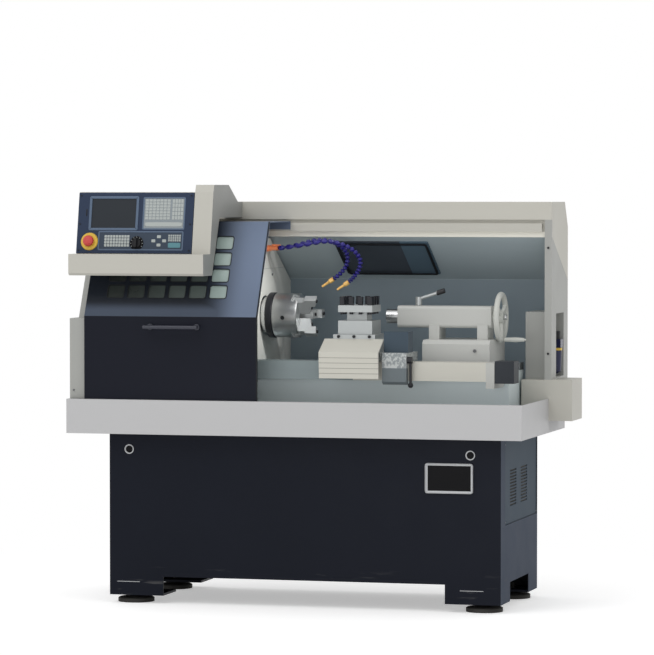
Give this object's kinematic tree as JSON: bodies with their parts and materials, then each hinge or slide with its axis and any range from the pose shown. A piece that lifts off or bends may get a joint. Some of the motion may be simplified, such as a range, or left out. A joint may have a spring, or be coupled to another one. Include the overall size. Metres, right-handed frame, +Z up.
{
  "type": "cnc turning lathe",
  "caption": "Flat-bed turning lathe with chuck, tool post, tailstock, chip tray, sliding window door, rear splash guard and a fixed control console on a base cabinet.",
  "frame": {"origin": "on the floor under the middle of the machine", "axes": "+X along the spindle from the headstock to the tailstock, +Y away from the operator, +Z up"},
  "size_m": [1.74, 0.776, 1.49],
  "materials": {
    "beige_paint": "satin",
    "cream_paint": "satin",
    "tray_paint": "satin",
    "navy_paint": "satin",
    "dark_navy_paint": "satin",
    "slate_paint": "satin",
    "casting_paint": "satin",
    "ground_iron": "ground",
    "bright_steel": "polished",
    "black_oxide": "black oxide",
    "motor_paint": "satin",
    "black_plastic": "matt",
    "blue_plastic": "gloss",
    "orange_plastic": "gloss",
    "amber_plastic": "gloss",
    "red_plastic": "gloss",
    "yellow_plastic": "gloss",
    "panel_film": "satin film",
    "screen_glass": "dark glass",
    "clear_sheet": "clear",
    "tinted_sheet": "tinted",
    "belt_rubber": "matt",
    "pad_rubber": "matt"
  },
  "bodies": {
    "frame": {"cabinet": "dark_navy_paint", "vent_panel": "slate_paint", "levelling_feet": "pad_rubber", "chip_tray": "tray_paint", "bed": "casting_paint", "headstock": "casting_paint", "spindle_bearings": "bright_steel", "partition": "cream_paint", "left_cover": "beige_paint", "main_motor": "motor_paint", "drive_belts": "belt_rubber", "rear_guard": "beige_paint", "liner_window": "tinted_sheet", "right_pillar": "beige_paint", "base_box": "beige_paint", "door_rail": "slate_paint", "console_housing": "beige_paint", "control_panel": "navy_paint", "screen": "screen_glass", "keypad": "panel_film", "stop_collar": "yellow_plastic", "coolant_taps": "orange_plastic", "coolant_hoses": "blue_plastic", "coolant_nozzles": "amber_plastic", "screw_guard": "ground_iron", "screw_bracket": "slate_paint", "feed_motor": "slate_paint", "air_unit": "blue_plastic"},
    "spindle": {"spindle": "bright_steel", "back_plate": "black_oxide", "chuck_body": "bright_steel", "spindle_pulley": "ground_iron"},
    "jaw_1": {"jaw_1": "bright_steel"},
    "jaw_2": {"jaw_2": "bright_steel"},
    "jaw_3": {"jaw_3": "bright_steel"},
    "motor_rotor": {"motor_pulley": "ground_iron"},
    "door": {"door": "navy_paint", "door_panes": "clear_sheet", "door_handle": "black_plastic"},
    "carriage": {"saddle": "ground_iron", "apron": "slate_paint", "chip_shield": "slate_paint"},
    "cross_slide": {"cross_slide": "ground_iron", "apron_cover": "cream_paint", "post_base": "ground_iron"},
    "tool_post": {"tool_post": "ground_iron", "post_screws": "black_oxide"},
    "feed_screw": {"feed_screw": "bright_steel"},
    "tailstock": {"tail_base": "casting_paint", "tail_body": "casting_paint"},
    "quill": {"quill": "bright_steel"},
    "handwheel": {"handwheel": "bright_steel"},
    "crank_grip": {"crank_grip": "bright_steel"},
    "quill_lever": {"quill_lever": "bright_steel"},
    "lock_lever": {"lock_lever": "black_oxide"},
    "stop_button": {"stop_button": "red_plastic"},
    "mode_knob": {"mode_knob": "black_plastic"},
    "tap_lever_1": {"tap_lever_1": "orange_plastic"},
    "tap_lever_2": {"tap_lever_2": "orange_plastic"},
    "air_knob": {"air_knob": "black_plastic"}
  },
  "joints": [
    {"name": "spindle_spin", "type": "hinge", "parent": "frame", "child": "spindle", "pos_m": [-0.17, 0.042, 1.02], "axis": [1, 0, 0], "continuous": true},
    {"name": "jaw_1_slide", "type": "slide", "parent": "spindle", "child": "jaw_1", "axis": [0, -0.5736, 0.8192], "range_m": [-0.006, 0.006]},
    {"name": "jaw_2_slide", "type": "slide", "parent": "spindle", "child": "jaw_2", "axis": [0, -0.4226, -0.9063], "range_m": [-0.006, 0.006]},
    {"name": "jaw_3_slide", "type": "slide", "parent": "spindle", "child": "jaw_3", "axis": [0, 0.9962, 0.0872], "range_m": [-0.006, 0.006]},
    {"name": "motor_spin", "type": "hinge", "parent": "frame", "child": "motor_rotor", "pos_m": [-0.67, 0.042, 0.33], "axis": [1, 0, 0], "continuous": true},
    {"name": "door_slide", "type": "slide", "parent": "frame", "child": "door", "axis": [1, 0, 0], "range_m": [0, 0.9]},
    {"name": "carriage_feed", "type": "slide", "parent": "frame", "child": "carriage", "axis": [1, 0, 0], "range_m": [-0.11, 0.05]},
    {"name": "screw_spin", "type": "hinge", "parent": "frame", "child": "feed_screw", "pos_m": [0.13, -0.188, 0.836], "axis": [1, 0, 0], "range_deg": [-6700, 3100]},
    {"name": "cross_feed", "type": "slide", "parent": "carriage", "child": "cross_slide", "axis": [0, 1, 0], "range_m": [-0.02, 0.045]},
    {"name": "post_index", "type": "hinge", "parent": "cross_slide", "child": "tool_post", "pos_m": [0.151, -0.138, 1], "axis": [0, 0, 1], "continuous": true},
    {"name": "tail_slide", "type": "slide", "parent": "frame", "child": "tailstock", "axis": [1, 0, 0], "range_m": [-0.04, 0.02]},
    {"name": "quill_feed", "type": "slide", "parent": "tailstock", "child": "quill", "axis": [-1, 0, 0], "range_m": [0, 0.03]},
    {"name": "wheel_spin", "type": "hinge", "parent": "tailstock", "child": "handwheel", "pos_m": [0.624, 0.042, 1.02], "axis": [1, 0, 0], "range_deg": [-10, 2170]},
    {"name": "grip_spin", "type": "hinge", "parent": "handwheel", "child": "crank_grip", "pos_m": [0.664, 0.042, 0.94], "axis": [1, 0, 0], "continuous": true},
    {"name": "quill_lock", "type": "hinge", "parent": "tailstock", "child": "quill_lever", "pos_m": [0.323, 0.042, 1.075], "axis": [0, 0, 1], "range_deg": [-40, 60]},
    {"name": "carriage_lock", "type": "hinge", "parent": "carriage", "child": "lock_lever", "pos_m": [0.352, -0.247, 0.876], "axis": [1, 0, 0], "range_deg": [-35, 0]},
    {"name": "stop_press", "type": "slide", "parent": "frame", "child": "stop_button", "axis": [0, 0.9821, -0.1883], "range_m": [0, 0.005], "stiffness_N_per_m": 600},
    {"name": "mode_turn", "type": "hinge", "parent": "frame", "child": "mode_knob", "pos_m": [-0.626, -0.29684, 1.28232], "axis": [0, -0.9821, 0.1883], "range_deg": [-120, 120]},
    {"name": "tap_1_turn", "type": "hinge", "parent": "frame", "child": "tap_lever_1", "pos_m": [-0.223, 0.057, 1.261], "axis": [0, 0, 1], "range_deg": [-90, 0]},
    {"name": "tap_2_turn", "type": "hinge", "parent": "frame", "child": "tap_lever_2", "pos_m": [-0.223, 0.085, 1.261], "axis": [0, 0, 1], "range_deg": [0, 90]},
    {"name": "air_turn", "type": "hinge", "parent": "frame", "child": "air_knob", "pos_m": [0.771, 0.288, 0.94], "axis": [0, 0, 1], "range_deg": [-180, 180]}
  ],
  "couplings": [
    {"joint": "jaw_2_slide", "follows": "jaw_1_slide", "ratio": 1},
    {"joint": "jaw_3_slide", "follows": "jaw_1_slide", "ratio": 1},
    {"joint": "motor_spin", "follows": "spindle_spin", "ratio": 1.8},
    {"joint": "screw_spin", "follows": "carriage_feed", "rad_per_m": 1047.2},
    {"joint": "wheel_spin", "follows": "quill_feed", "rad_per_m": 1256.6}
  ]
}
